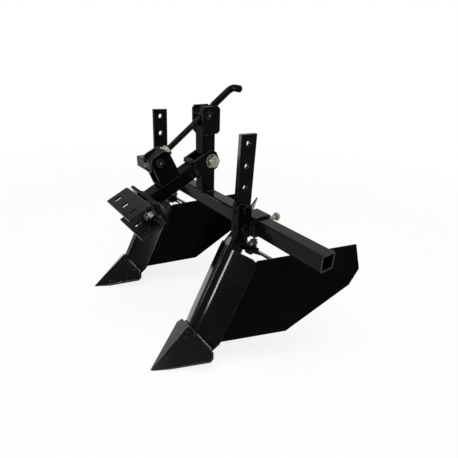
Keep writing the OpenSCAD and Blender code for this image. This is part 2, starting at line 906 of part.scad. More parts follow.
module shank(side)
    shank_frame(side)
        difference() {
            plate_x(-shank_t / 2, shank_t / 2)
                polygon([
                    [0, shank_head],
                    [-shank_w, shank_head],
                    [-shank_w, nose_to_sz(seat_m, knee_front_w)],
                    [nose_to_sy(seat_m, -shank_foot), nose_to_sz(seat_m, -shank_foot)],
                    [nose_to_sy(seat_m + shank_w, -shank_foot),
                        nose_to_sz(seat_m + shank_w, -shank_foot)],
                    [0, nose_to_sz(seat_m + shank_w, knee_back_w)]
                ]);
            for (i = [0 : hole_count - 1])
                translate([0, hole_y, hole_h(i)])
                    bar_x(hole_r, -shank_t, shank_t);
        }

module shank_bolts(side)
    shank_frame(side)
        for (z = bolt_rows)
            translate([0, hole_y, z]) {
                bar_x(shank_bolt_r, -grip_out - bolt_nut_h - bolt_end, grip_out);
                translate([grip_out, 0, 0])
                    rotate([0, 90, 0])
                        hex_bar(bolt_af, bolt_head);
            }

module shank_nuts(side)
    shank_frame(side)
        for (z = bolt_rows)
            translate([-grip_out - bolt_nut_h, hole_y, z])
                rotate([0, 90, 0])
                    difference() {
                        hex_bar(bolt_af, bolt_nut_h);
                        translate([0, 0, -eps])
                            cylinder(r = shank_bolt_r, h = bolt_nut_h + 2 * eps);
                    }

// Nose and share

// One leg's frame: +X outward along the leg, Y measured from the bend's centre
module leg_frame()
    translate([0, nose_r, 0])
        rotate(nose_sweep)
            children();

// Section of the nose, seen along its ridge, as computed points: an arc between two legs
function bend_arc(r, from, to) = [
    for (i = [0 : bend_steps])
        let (a = from + (to - from) * i / bend_steps)
            [r * sin(a), nose_r - r * cos(a)]
];
// Point on a leg: l along it from the bend, r from the bend's centre
function leg_point(hand, l, r) = [
    hand * (r * sin(nose_sweep) + l * cos(nose_sweep)),
    nose_r - r * cos(nose_sweep) + l * sin(nose_sweep)
];

module nose_section()
    polygon(concat(
        [leg_point(-1, leg_l, nose_r)],
        bend_arc(nose_r, -nose_sweep, nose_sweep),
        [leg_point(1, leg_l, nose_r), leg_point(1, leg_l, nose_in_r)],
        bend_arc(nose_in_r, nose_sweep, -nose_sweep),
        [leg_point(-1, leg_l, nose_in_r)]
    ));

// Front view of the nose: what is cut off its lower edge and upper corners
module nose_trim() {
    half = nose_w / 2;
    polygon([
        [0, -nose_down],
        [nose_w, -nose_down - 2 * nose_drop],
        [nose_w, -3 * nose_down],
        [-nose_w, -3 * nose_down],
        [-nose_w, -nose_down - 2 * nose_drop]
    ]);
    for (hand = [0, 1])
        mirror([hand, 0]) {
            difference() {
                translate([half - nose_corner, nose_up - nose_corner])
                    square(2 * nose_corner);
                translate([half - nose_corner, nose_up - nose_corner])
                    circle(nose_corner);
            }
            polygon([
                [half, -nick_low],
                [half + nick_in, -nick_low],
                [half + nick_in, -2 * nose_down],
                [half - nick_in, -2 * nose_down],
                [half - nick_in, -nose_down - nose_drop]
            ]);
        }
}

// Barrels of the nose beside each wing barrel, with their leaves
module nose_barrels()
    for (w = [-hinge_up, hinge_up], end = [0, 1])
        translate([0, 0, w])
            mirror([0, 0, end])
                translate([0, 0, barrel_l / 2 + slide_room])
                    leg_frame() {
                        translate([hinge_lx, hinge_ly, 0])
                            cylinder(r = barrel_r, h = barrel_end_l);
                        translate([hinge_lx - leaf_l, -nose_in_r, 0])
                            cube([leaf_l, leaf_t, barrel_end_l]);
                    }

// Everything along both hinge axes, from the middle outwards
module hinge_axes()
    for (hand = [0, 1])
        mirror([hand, 0, 0])
            translate([hinge_x, hinge_m, 0])
                children();

module nose(side)
    nose_frame(side)
        difference() {
            union() {
                difference() {
                    translate([0, 0, -nose_down - nose_drop - eps])
                        linear_extrude(nose_down + nose_drop + eps + nose_up)
                            nose_section();
                    translate([0, nose_w, 0])
                        rotate([90, 0, 0])
                            linear_extrude(2 * nose_w)
                                nose_trim();
                }
                for (hand = [0, 1])
                    mirror([hand, 0, 0])
                        nose_barrels();
            }
            hinge_axes()
                translate([0, 0, -nose_down])
                    cylinder(r = pin_r, h = nose_down + nose_up);
        }

// Solid wedge bounded by the nose's outer faces, to fit the share to
module nose_wedge()
    translate([0, 0, -2 * nose_down])
        linear_extrude(2 * nose_down)
            polygon(concat(
                [leg_point(-1, 2 * nose_w, nose_r)],
                bend_arc(nose_r, -nose_sweep, nose_sweep),
                [leg_point(1, 2 * nose_w, nose_r)]
            ));

// V section of the share, seen along its own ridge
module share_section() {
    x = share_wing * cos(share_sweep);
    y = share_wing * sin(share_sweep);
    in_x = x - share_t * sin(share_sweep);
    in_y = y + share_t * cos(share_sweep);
    polygon([[-x, y], [0, 0], [x, y], [in_x, in_y], [0, share_t / cos(share_sweep)], [-in_x, in_y]]);
}

// Front view of the share, up its own ridge from the tip
module share_outline() {
    x = share_wing * cos(share_sweep);
    top_x = x - share_trim * cos(share_sweep);
    polygon([[0, 0], [x, share_rise], [top_x, share_rear], [0, share_l],
        [-top_x, share_rear], [-x, share_rise]]);
}

module share(side)
    nose_frame(side)
        difference() {
            translate([0, tip_m, tip_w])
                rotate([-share_lean, 0, 0])
                    intersection() {
                        linear_extrude(share_l)
                            share_section();
                        translate([0, nose_w, 0])
                            rotate([90, 0, 0])
                                linear_extrude(2 * nose_w)
                                    share_outline();
                    }
            nose_wedge();
            translate([0, tip_m, tip_w])
                rotate([nose_lean, 0, 0])
                    translate([-nose_w, -nose_w, share_grind - nose_w])
                        cube([2 * nose_w, 3 * nose_w, nose_w]);
        }

module hinge_pins(side)
    nose_frame(side)
        hinge_axes()
            for (w = [-hinge_up, hinge_up])
                translate([0, 0, w - hinge_half]) {
                    cylinder(r = pin_r, h = 2 * hinge_half);
                    translate([0, 0, 2 * hinge_half])
                        cylinder(r = pin_head_r, h = pin_head);
                }

// Wings and their straps

module wing(side, inner) {
    level = inner ? inner_level : outer_level;
    sweep = inner ? inner_sweep : outer_sweep;
    edge = edge_x(sweep);
    back = back_y(sweep);
    wing_frame(side, inner)
        difference() {
            union() {
                translate([0, -back, 0])
                    rotate([90, 0, 0])
                        linear_extrude(wing_t)
                            polygon([
                                [lap_x(sweep), -wing_low],
                                [edge + wing_heel, -wing_heel_low],
                                [edge + wing_l - wing_t, wing_tip_low],
                                [edge + wing_l, wing_tip],
                                [edge + wing_l - wing_peak_in, wing_peak],
                                [lap_x(sweep), wing_high]
                            ]);
                for (w = [-hinge_up, hinge_up])
                    translate([0, 0, w - barrel_l / 2]) {
                        cylinder(r = barrel_r, h = barrel_l);
                        translate([0, -back, 0])
                            cube([leaf_l, leaf_t, barrel_l]);
                    }
                translate([lug_s - lug_w / 2, -back, level - slide_room - lug_t])
                    cube([lug_w, back + lug_back + lug_w / 2, lug_t]);
            }
            translate([0, 0, -nose_down])
                cylinder(r = pin_bore, h = nose_down + nose_up);
            translate([lug_s, lug_back, 0])
                cylinder(r = lug_pin_r, h = 2 * nose_up);
        }
}

// Strap from its pin on the wing to past the stud behind the shank
module strap(side, inner) {
    sweep = inner ? inner_sweep : outer_sweep;
    slot_near = strap_reach(sweep) - slot_near_run;
    slot_far = strap_reach(sweep) + slot_far_run;
    wing_frame(side, inner)
        translate([lug_s, lug_back, inner ? inner_level : outer_level])
            rotate(strap_turn(sweep) - sweep)
                linear_extrude(strap_t)
                    difference() {
                        union() {
                            circle(strap_w / 2);
                            translate([0, -strap_w / 2])
                                square([slot_far + strap_end, strap_w]);
                        }
                        circle(lug_pin_r + pin_room);
                        translate([slot_near, -slot_r])
                            square([slot_far - slot_near, 2 * slot_r]);
                        for (s = [slot_near, slot_far])
                            translate([s, 0])
                                circle(slot_r);
                    }
}

// Headed pin through a wing's lug and its strap, with its nut
module strap_pin(side, inner) {
    level = inner ? inner_level : outer_level;
    foot = level - slide_room - lug_t;
    top = level + strap_t + slide_room;
    wing_frame(side, inner)
        translate([lug_s, lug_back, 0]) {
            translate([0, 0, foot - lug_head])
                hex_bar(lug_af, lug_head);
            translate([0, 0, foot])
                cylinder(r = lug_pin_r, h = top - foot);
            translate([0, 0, top])
                hex_bar(lug_af, lug_head);
        }
}

// Plate behind the shank that carries the stud
module bracket(side)
    nose_frame(side)
        difference() {
            translate([-bracket_w / 2, seat_m + shank_w, strap_level - lug_t])
                cube([bracket_w, stud_back + bracket_end - seat_m - shank_w, lug_t]);
            translate([0, stud_back, 0])
                cylinder(r = stud_r, h = 2 * nose_up);
        }

module stud(side)
    nose_frame(side)
        translate([0, stud_back, strap_level - lug_t]) {
            translate([0, 0, -bolt_head])
                hex_bar(bolt_af, bolt_head);
            cylinder(r = stud_r, h = stud_top + bolt_nut_h + bolt_end - strap_level + lug_t);
        }

module stud_nut(side)
    nose_frame(side)
        translate([0, stud_back, stud_top])
            difference() {
                union() {
                    hex_bar(bolt_af, bolt_nut_h);
                    translate([0, 0, -pivot_washer_t])
                        cylinder(r = stud_washer_r, h = pivot_washer_t);
                }
                translate([0, 0, -pivot_washer_t - eps])
                    cylinder(r = stud_r, h = bolt_nut_h + pivot_washer_t + 2 * eps);
            }

// Left row

module left_sleeve() color("dimgray") sleeve(1);
module left_grips() color("dimgray") grips(1);
module left_set_screw() color("silver") set_screw(1);
module left_shank() color("dimgray") shank(1);
module left_shank_bolts() color("dimgray") shank_bolts(1);
module left_shank_nuts() color("dimgray") shank_nuts(1);
module left_nose() color("dimgray") nose(1);
module left_share() color("gray") share(1);
module left_hinge_pins() color("gray") hinge_pins(1);
module left_bracket() color("dimgray") bracket(1);
module left_stud() color("silver") stud(1);
module left_stud_nut() color("silver") stud_nut(1);
module left_outer_wing() color("dimgray") wing(1, false);
module left_inner_wing() color("dimgray") wing(1, true);
module left_outer_strap() color("dimgray") strap(1, false);
module left_inner_strap() color("dimgray") strap(1, true);
module left_outer_pin() color("silver") strap_pin(1, false);
module left_inner_pin() color("silver") strap_pin(1, true);

// Right row

module right_sleeve() color("dimgray") sleeve(-1);
module right_grips() color("dimgray") grips(-1);
module right_set_screw() color("silver") set_screw(-1);
module right_shank() color("dimgray") shank(-1);
module right_shank_bolts() color("dimgray") shank_bolts(-1);
module right_shank_nuts() color("dimgray") shank_nuts(-1);
module right_nose() color("dimgray") nose(-1);
module right_share() color("gray") share(-1);
module right_hinge_pins() color("gray") hinge_pins(-1);
module right_bracket() color("dimgray") bracket(-1);
module right_stud() color("silver") stud(-1);
module right_stud_nut() color("silver") stud_nut(-1);
module right_outer_wing() color("dimgray") wing(-1, false);
module right_inner_wing() color("dimgray") wing(-1, true);
module right_outer_strap() color("dimgray") strap(-1, false);
module right_inner_strap() color("dimgray") strap(-1, true);
module right_outer_pin() color("silver") strap_pin(-1, false);
module right_inner_pin() color("silver") strap_pin(-1, true);

part_frame() cross_beam();
part_frame() centre_post();
part_frame() post_cheek_left();
part_frame() post_cheek_right();
part_frame() pivot_bolt();
part_frame() pivot_nut();
part_frame() pivot_washers();
part_frame() arm_fork();
part_frame() arm_tube();
part_frame() arm_yoke();
part_frame() end_plate();
part_frame() hitch_channel();
part_frame() hitch_bolts();
part_frame() hitch_nuts();
part_frame() hitch_spacers();
part_frame() swivel_block();
part_frame() crank_screw();
part_frame() lock_nuts();
part_frame() trunnion_nut();
part_frame() left_sleeve();
part_frame() left_grips();
part_frame() left_set_screw();
part_frame() left_shank();
part_frame() left_shank_bolts();
part_frame() left_shank_nuts();
part_frame() left_nose();
part_frame() left_share();
part_frame() left_hinge_pins();
part_frame() left_bracket();
part_frame() left_stud();
part_frame() left_stud_nut();
part_frame() left_outer_wing();
part_frame() left_inner_wing();
part_frame() left_outer_strap();
part_frame() left_inner_strap();
part_frame() left_outer_pin();
part_frame() left_inner_pin();
part_frame() right_sleeve();
part_frame() right_grips();
part_frame() right_set_screw();
part_frame() right_shank();
part_frame() right_shank_bolts();
part_frame() right_shank_nuts();
part_frame() right_nose();
part_frame() right_share();
part_frame() right_hinge_pins();
part_frame() right_bracket();
part_frame() right_stud();
part_frame() right_stud_nut();
part_frame() right_outer_wing();
part_frame() right_inner_wing();
part_frame() right_outer_strap();
part_frame() right_inner_strap();
part_frame() right_outer_pin();
part_frame() right_inner_pin();
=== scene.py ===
# %% [markdown]
# # Two-row ridger for a walking tractor
#
# The real implement is a square steel beam on which two ridging bodies slide. Every plate and tube is
# welded up and then sprayed in a glossy black paint. Bolts and nuts are left in their zinc plating.
# The exact solids of all these pieces come in as the frame, each on the body that it moves with.
# This lesson adds what a drawing of the solids leaves out: paint that looks like paint, weld beads,
# cut threads, soft light and the camera.

# %% Bring in the frame
import itertools
import math

import bpy
from mathutils import Matrix, Vector


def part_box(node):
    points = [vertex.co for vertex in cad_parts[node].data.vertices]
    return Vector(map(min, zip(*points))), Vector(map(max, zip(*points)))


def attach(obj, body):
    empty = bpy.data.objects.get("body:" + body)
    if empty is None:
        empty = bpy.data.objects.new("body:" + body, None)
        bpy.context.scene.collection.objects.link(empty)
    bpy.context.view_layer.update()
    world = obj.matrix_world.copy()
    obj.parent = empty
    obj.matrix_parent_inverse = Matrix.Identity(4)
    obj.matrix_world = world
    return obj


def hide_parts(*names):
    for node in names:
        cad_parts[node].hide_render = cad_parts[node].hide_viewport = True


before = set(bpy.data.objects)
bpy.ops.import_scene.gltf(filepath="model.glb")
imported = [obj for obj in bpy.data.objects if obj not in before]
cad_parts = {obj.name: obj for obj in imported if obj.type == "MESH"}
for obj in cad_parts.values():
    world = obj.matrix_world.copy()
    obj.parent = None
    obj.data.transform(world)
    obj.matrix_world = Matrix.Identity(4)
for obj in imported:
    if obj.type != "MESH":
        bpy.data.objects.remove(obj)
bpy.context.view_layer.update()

# %% [markdown]
# ## A place to measure from
#
# The drawing measures everything from the middle of the cross beam, so the same point is found here
# from the beam's own box. Sizes are repeated from the drawing in millimetres, because that is how a
# workshop reads them, and one function turns them into Blender's metres.

# %% The middle of the beam
low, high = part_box("cross_beam")
beam_middle = Matrix.Translation((Vector(low) + Vector(high)) / 2)
print("beam middle:", [round(v, 4) for v in beam_middle.translation])


def mm(x, y, z):
    """A point given in millimetres, in metres."""
    return Vector((x, y, z)) / 1000


def shift(x, y, z):
    """A move given in millimetres, as a matrix."""
    return Matrix.Translation(mm(x, y, z))


def tilt(degrees, axis="X"):
    """A turn about one axis, as a matrix."""
    return Matrix.Rotation(math.radians(degrees), 4, axis)


def mirrored(way):
    """A mirror image across X for -1, and no change for 1."""
    return Matrix.Diagonal((way, 1, 1, 1))


# %% [markdown]
# ## The working frames
#
# The arm slopes, the adjusting screw slopes the other way, each row stands on the beam, its shank leans
# a little, its nose leans back and its wings are swept. A matrix for each lets a weld or a thread be
# placed by the plain sizes of its own piece. The right-hand row is the mirror image of the left-hand
# one, and each inner wing that of an outer one.

# %% Arm and screw
PIVOT_UP, ARM_SLOPE = 109, 25.5
SWIVEL_FORE, SWIVEL_UP = 130.7, 78
NUT_FORE, NUT_UP = 8, 227
arm_frame = beam_middle @ shift(0, 0, PIVOT_UP) @ tilt(ARM_SLOPE)
swivel_axis = arm_frame @ mm(0, -SWIVEL_FORE, SWIVEL_UP)
nut_axis = beam_middle @ mm(0, -NUT_FORE, NUT_UP)
screw_line = nut_axis - swivel_axis
screw_span = screw_line.length * 1000
screw_slope = math.atan2(screw_line.z, screw_line.y)
screw_frame = Matrix.Translation(swivel_axis) @ Matrix.Rotation(screw_slope, 4, "X")
print("between the cross axes: %.1f mm" % screw_span)

# %% Rows, noses and wings
ROWS = {"left": (222, 1), "right": (-188, -1)}
SHANK_FORE, SHANK_UP, SHANK_LEAN = 26.1, 26, 2
NOSE_FORE, NOSE_DEEP, NOSE_LEAN = 133.7, 130.5, 28.4
NOSE_R, NOSE_T, NOSE_SWEEP, NOSE_W = 36, 5, math.radians(35.5), 141
BARREL_BACK, HINGE_INSET = 9.3, 14
LEG_L = (NOSE_W / 2 - NOSE_R * math.sin(NOSE_SWEEP)) / math.cos(NOSE_SWEEP)
HINGE_ALONG = LEG_L - HINGE_INSET
HINGE_IN = BARREL_BACK - (NOSE_R - NOSE_T)
WINGS = {"outer": (52, 1), "inner": (55, -1)}
row_frames, shank_frames, nose_frames, leg_frames, wing_frames = {}, {}, {}, {}, {}
for side, (row_x, way) in ROWS.items():
    row = beam_middle @ shift(row_x, 0, 0) @ mirrored(way)
    nose = row @ shift(0, -NOSE_FORE, -NOSE_DEEP) @ tilt(-NOSE_LEAN)
    row_frames[side] = row
    shank_frames[side] = row @ shift(0, -SHANK_FORE, SHANK_UP) @ tilt(-SHANK_LEAN)
    nose_frames[side] = nose
    for hand, (sweep, facing) in WINGS.items():
        half = nose @ mirrored(facing)
        leg = half @ shift(0, NOSE_R, 0) @ Matrix.Rotation(NOSE_SWEEP, 4, "Z")
        leg_frames[side, hand] = leg
        hinge = nose.inverted() @ (leg @ mm(HINGE_ALONG, HINGE_IN, 0))
        hinge_move = Matrix.Translation((abs(hinge.x), hinge.y, 0))
        wing_frames[side, hand] = half @ hinge_move @ tilt(sweep, "Z")
print("working frames:", 2 + 3 * len(row_frames) + len(leg_frames) + len(wing_frames))

# %% [markdown]
# ## Shader sums that read like sums
#
# A finish is built from nodes, and long chains of Math nodes are hard to read. One small class holds a
# socket and turns plus, minus and times into Math nodes, so a mask is written as a sum. A second class
# holds a node tree and has one method that adds any other node. A third one holds a material, with the
# few groups of nodes that most finishes need.

# %% A socket that can be reckoned with
class Wire:
    """One output socket. Sums on it add Math nodes."""

    def __init__(self, nodes, socket):
        self.nodes = nodes
        self.socket = socket

    def math(self, operation, first, second):
        return self.nodes.add("Math", {"operation": operation}, {0: first, 1: second})

    def __add__(self, other):
        return self.math("ADD", self, other)

    __radd__ = __add__

    def __sub__(self, other):
        return self.math("SUBTRACT", self, other)

    def __rsub__(self, other):
        return self.math("SUBTRACT", other, self)

    def __mul__(self, other):
        return self.math("MULTIPLY", self, other)

    def most(self, other):
        """The larger of two values."""
        return self.math("MAXIMUM", self, other)

    def above(self, start, end):
        """0 below start, 1 above end, and a straight rise between them."""
        return self.nodes.add("MapRange", {"clamp": True},
                              {"Value": self, "From Min": start, "From Max": end})


# %% A tree of nodes
class Nodes:
    """One node tree, and the nodes that are added to it."""

    def __init__(self, tree):
        self.tree = tree

    def add(self, kind, settings=None, sockets=None, out=0):
        node = self.tree.nodes.new("ShaderNode" + kind)
        for name, value in (settings or {}).items():
            setattr(node, name, value)
        for name, value in (sockets or {}).items():
            self.feed(node.inputs[name], value)
        return Wire(self, node.outputs[out])

    def feed(self, socket, value):
        if isinstance(value, Wire):
            self.tree.links.new(value.socket, socket)
        else:
            socket.default_value = value

    def looked_at(self):
        """1 for rays from the camera, a mirror or glass, and 0 for those that only carry light."""
        names = ("Is Camera Ray", "Is Glossy Ray", "Is Transmission Ray")
        camera, mirror, glass = [self.add("LightPath", out=name) for name in names]
        return camera.most(mirror).most(glass)


# %% A finish and its nodes
EDGE_MASK = (0.01, 0.16)


class Finish(Nodes):
    """One material, with its shader and its Object coordinates."""

    def __init__(self, name):
        self.material = bpy.data.materials.new(name)
        self.material.use_nodes = True
        super().__init__(self.material.node_tree)
        self.shader = self.tree.nodes["Principled BSDF"]
        self.place = self.add("TexCoord", out="Object")

    def set(self, **sockets):
        for name, value in sockets.items():
            self.feed(self.shader.inputs[name.replace("_", " ")], value)

    def noise(self, scale, detail=2.0, roughness=0.5):
        return self.add("TexNoise", None, {"Vector": self.place, "Scale": scale,
                                           "Detail": detail, "Roughness": roughness})

    def blend(self, factor, first, second):
        """One colour going over to another."""
        return self.add("Mix", {"data_type": "RGBA"}, {0: factor, 6: first, 7: second}, out=2)

    def vector(self, operation, first, second=None, out=0):
        sockets = {0: first} if second is None else {0: first, 1: second}
        return self.add("VectorMath", {"operation": operation}, sockets, out)

    def edges(self, radius):
        """A rounded normal for sharp edges, and a mask that is 1 on them."""
        rounded = self.add("Bevel", {"samples": 6}, {"Radius": radius})
        flat = self.add("NewGeometry", out="Normal")
        along = self.vector("DOT_PRODUCT", rounded, flat, out=1)
        return rounded, (1 - along).above(*EDGE_MASK)

    def bump(self, height, distance, strength, normal=None):
        sockets = {"Height": height, "Distance": distance, "Strength": strength}
        if normal is not None:
            sockets["Normal"] = normal
        return self.add("Bump", None, sockets)


def grey(level):
    return (level, level, level, 1)


print("shader helpers ready")

# %% [markdown]
# ## Glossy black paint
#
# The paint on the real plates is sprayed on thick. It is a deep black that mirrors almost nothing when
# looked at squarely and a lot at a glancing angle, so one half of a nose looks black and the other half
# grey. A low index of refraction gives just that. The mirror is a little wavy from the orange-peel skin
# and duller where dust has settled, and the film pulls thin over sharp edges, where handling has rubbed
# it grey. That grey on the edges is partly a painted highlight too, for the light lines the edges catch.
# A Bevel node finds those edges, rounds their highlight and gives the mask for the grey. Noise at
# several sizes does the rest: a coarse one for cloudy gloss, a fine one for the skin, a speckled one for
# dust and a sparse one for chips, most of them on the shares. The paint comes in six copies whose
# darkness and mirror differ from part to part, which paints in the light and shade of each part: the
# wings darkest, the hitch channel and the beam with its sleeves lightest.

# %% Make the paint
PAINT_EDGE, PAINT_SKIN = 0.0018, 0.00012
CLOUD_LIFT, DUST_SHARE = 1.7, 0.03
DUST = (0.3, 0.29, 0.27, 1)
WORN_STEEL_AND_EDGE_HIGHLIGHT = (0.19, 0.185, 0.18, 1)


def black_paint(name, level, index, roughness, edge_wear_and_highlight, chipped=0.0):
    finish = Finish(name)
    rounded, edge = finish.edges(PAINT_EDGE)
    cloud = finish.noise(9.0, 4.0)
    skin = finish.noise(520.0, 1.0)
    specks = finish.noise(1900.0, 2.0, 0.7).above(0.64, 0.78)
    dust = specks * finish.noise(14.0, 3.0).above(0.42, 0.68)
    flakes = finish.noise(260.0, 3.0, 0.6).above(0.66, 0.69)
    chips = flakes * finish.noise(26.0, 2.0).above(0.5, 0.6) * chipped
    # Grey on the edges: rubbed paint, and partly a painted highlight along them.
    scuff_and_edge_highlight = edge * finish.noise(120.0, 4.0, 0.65).above(0.4, 0.6) * edge_wear_and_highlight
    film = finish.blend(cloud.above(0.3, 0.7), grey(level), grey(level * CLOUD_LIFT))
    dusty = finish.blend(dust * DUST_SHARE, film, DUST)
    bare = scuff_and_edge_highlight.most(chips)
    finish.set(Base_Color=finish.blend(bare, dusty, WORN_STEEL_AND_EDGE_HIGHLIGHT))
    finish.set(Roughness=roughness + cloud.above(0.35, 0.75) * 0.05 + dust * 0.12 + bare * 0.25)
    finish.set(Normal=finish.bump(skin + cloud * 2.0 - chips * 3.0, PAINT_SKIN, 0.32, rounded))
    finish.set(IOR=index)
    return finish.material


# Six copies of one paint: each part's darkness and mirror paint in the light and shade it shows, wings
# darkest, hitch channel and beam lightest.
frame_paint = black_paint("frame_black_paint", 0.0022, 1.10, 0.16, 1.0)
beam_paint = black_paint("beam_black_paint", 0.0035, 1.18, 0.13, 0.7)
channel_paint = black_paint("channel_black_paint", 0.010, 1.10, 0.20, 0.7)
plate_paint = black_paint("plate_black_paint", 0.0013, 1.115, 0.10, 0.6, 0.1)
wing_paint = black_paint("wing_black_paint", 0.0012, 1.08, 0.15, 0.5, 0.05)
share_paint = black_paint("share_black_paint", 0.0018, 1.14, 0.11, 1.0, 0.8)
paints = (frame_paint, beam_paint, channel_paint, plate_paint, wing_paint, share_paint)
print("paints:", [p.name for p in paints])

# %% [markdown]
# ## Zinc plating
#
# Bolts, nuts and washers are plated: a grey metal, slightly green, with a cloudy bloom that makes some
# faces duller than others, fine turning marks and a brown stain that starts at the edges. It is a metal
# where it is clean, so its colour is what it reflects, and the stain takes the metal away. The lower
# lock nut on the adjusting screw was sprayed black with the yoke, and the upper one was put on later.
# One plating serves both: a mask along the screw says where it is bare.

# %% Make the plating
ZINC_EDGE, TURNING_MARKS = 0.0008, 0.00005
RUST = (0.075, 0.05, 0.024, 1)
SPRAYED = grey(0.003)


def plated(name, bright, dull, roughness, stained=0.7, bare_from=None):
    finish = Finish(name)
    rounded, edge = finish.edges(ZINC_EDGE)
    bloom = finish.noise(160.0, 5.0, 0.6)
    grain = finish.noise(900.0, 3.0, 0.6)
    stain = edge * finish.noise(210.0, 4.0, 0.6).above(0.44, 0.6) * stained
    tone = finish.blend(bloom.above(0.34, 0.68), bright, dull)
    colour = finish.blend(stain, tone, RUST)
    metal = 1 - stain * 0.8
    if bare_from is not None:
        up = bare_from.to_3x3() @ Vector((0, 1, 0))
        across = finish.vector("SUBTRACT", finish.place, bare_from.translation)
        bare = finish.vector("DOT_PRODUCT", across, up, out=1).above(0, 0.001)
        colour = finish.blend(bare, SPRAYED, colour)
        metal = metal * bare
    finish.set(Base_Color=colour, Metallic=metal)
    finish.set(Roughness=roughness + bloom.above(0.3, 0.7) * 0.16 + stain * 0.3)
    finish.set(Normal=finish.bump(grain, TURNING_MARKS, 0.35, rounded))
    return finish.material


ZINC_BRIGHT, ZINC_DULL = (0.36, 0.37, 0.30, 1), (0.10, 0.105, 0.08, 1)
DARK_ZINC_BRIGHT, DARK_ZINC_DULL = (0.06, 0.062, 0.052, 1), (0.012, 0.012, 0.010, 1)
PIN_BRIGHT, PIN_DULL = (0.16, 0.16, 0.155, 1), grey(0.03)
zinc = plated("zinc_plating", ZINC_BRIGHT, ZINC_DULL, 0.2)
# A much darker plating, for the fasteners down between the plates and the hitch bolts.
dark_zinc = plated("dark_zinc_plating", DARK_ZINC_BRIGHT, DARK_ZINC_DULL, 0.3, 0.9)
lock_zinc = plated("lock_nut_plating", ZINC_BRIGHT, ZINC_DULL, 0.26, 0.9, screw_frame)
# Bare steel for the hinge pins, and a painted glint where it is used on pin ends and the share's seams.
steel_and_glint = plated("bare_steel_and_painted_glint", PIN_BRIGHT, PIN_DULL, 0.22, 0.4)
print("metals:", zinc.name, dark_zinc.name, lock_zinc.name, steel_and_glint.name)

# %% [markdown]
# ## Oiled screw steel
#
# The adjusting screw is cut steel that is kept in oil and grease, so its thread is black between the
# crests and a dark, worn grey on them, where the nut has run. The distance from the screw's own axis
# tells crest from root. A Mapping node turns the coordinates so that the axis is their Z.

# %% Make the screw's finish
GREASE, CREST_STEEL = grey(0.002), (0.028, 0.027, 0.025, 1)
OIL_INDEX, CUT_MARKS = 1.12, 0.00004


def oiled_thread(name, axis_frame, root, crest):
    finish = Finish(name)
    back = axis_frame.inverted()
    turned = finish.add("Mapping", {"vector_type": "POINT"}, {
        "Vector": finish.place, "Location": back.translation, "Rotation": back.to_euler()})
    flat = finish.vector("MULTIPLY", turned, (1, 1, 0))
    ridge = finish.vector("LENGTH", flat, out=1).above(root, crest)
    smear = finish.noise(70.0, 4.0, 0.6)
    bright = ridge * smear.above(0.3, 0.6)
    finish.set(Base_Color=finish.blend(bright, GREASE, CREST_STEEL))
    finish.set(Metallic=bright * 0.8, IOR=OIL_INDEX)
    finish.set(Roughness=0.42 - bright * 0.14 + smear * 0.1)
    finish.set(Normal=finish.bump(finish.noise(1400.0, 2.0), CUT_MARKS, 0.3))
    return finish.material


screw_steel = oiled_thread("oiled_screw_steel", screw_frame @ tilt(-90), 0.0066, 0.0079)
print("screw finish:", screw_steel.name)

# %% [markdown]
# ## Give every solid its finish
#
# Everything is painted except the fasteners and the pins that turn. The two shank bolts in each clamp
# were in place when the rows were sprayed, so they are painted too. The fasteners low down between the
# plates and the hitch bolts take a much darker plating. What is in no list has the frame's paint.

# %% Hand out the finishes
FINISHES = (
    (zinc, ("pivot_bolt", "pivot_nut", "pivot_washers", "hitch_nuts", "set_screw")),
    (dark_zinc, ("hitch_bolts", "stud", "stud_nut", "outer_pin", "inner_pin")),
    (lock_zinc, ("lock_nuts",)),
    (steel_and_glint, ("hinge_pins",)),
    (share_paint, ("share",)),
    (wing_paint, ("outer_wing", "inner_wing")),
    (beam_paint, ("cross_beam", "sleeve")),
    (channel_paint, ("hitch_channel",)),
    (plate_paint, ("nose", "outer_strap", "inner_strap", "bracket",
                   "shank", "shank_bolts", "shank_nuts", "grips")),
)


def finish_of(node):
    plain = node.removeprefix("left_").removeprefix("right_")
    for finish, nodes in FINISHES:
        if plain in nodes:
            return finish
    return frame_paint


counts = {}
for name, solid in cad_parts.items():
    chosen = finish_of(name)
    solid.data.materials.clear()
    solid.data.materials.append(chosen)
    counts[chosen.name] = counts.get(chosen.name, 0) + 1
print("finished solids:", counts)

# %% [markdown]
# ## Modelling by hand, without a hand
#
# Operators act on whatever is selected, so each piece starts by leaving edit mode and deselecting
# everything. A piece is modelled upright at the origin, then laid along a line between two points, and
# that place is applied to its mesh, as the solids of the frame have theirs.

# %% Small helpers for operators
def start_clean():
    if bpy.context.object is not None and bpy.context.object.mode != "OBJECT":
        leave_edit()
    bpy.ops.object.select_all(action="DESELECT")


def edit_all():
    bpy.ops.object.mode_set(mode="EDIT")
    bpy.ops.mesh.select_all(action="SELECT")


def leave_edit():
    bpy.ops.object.mode_set(mode="OBJECT")


def pick(piece, wanted, kind="VERT"):
    """In edit mode, selects just the vertices, or the faces, that the test wants."""
    bpy.ops.mesh.select_mode(type=kind)
    bpy.ops.mesh.select_all(action="DESELECT")
    leave_edit()
    if kind == "VERT":
        for vertex in piece.data.vertices:
            vertex.select = wanted(vertex.co)
    else:
        for face in piece.data.polygons:
            face.select = wanted(face.center)
    bpy.ops.object.mode_set(mode="EDIT")


def face_outward():
    bpy.ops.mesh.select_all(action="SELECT")
    bpy.ops.mesh.normals_make_consistent(inside=False)


def extrude(x, y, z):
    bpy.ops.mesh.extrude_region_move(TRANSFORM_OT_translate={"value": (x, y, z)})


def smooth_by(degrees):
    bpy.ops.object.shade_smooth_by_angle(angle=math.radians(degrees))


def apply_place():
    bpy.ops.object.transform_apply(location=True, rotation=True, scale=True)


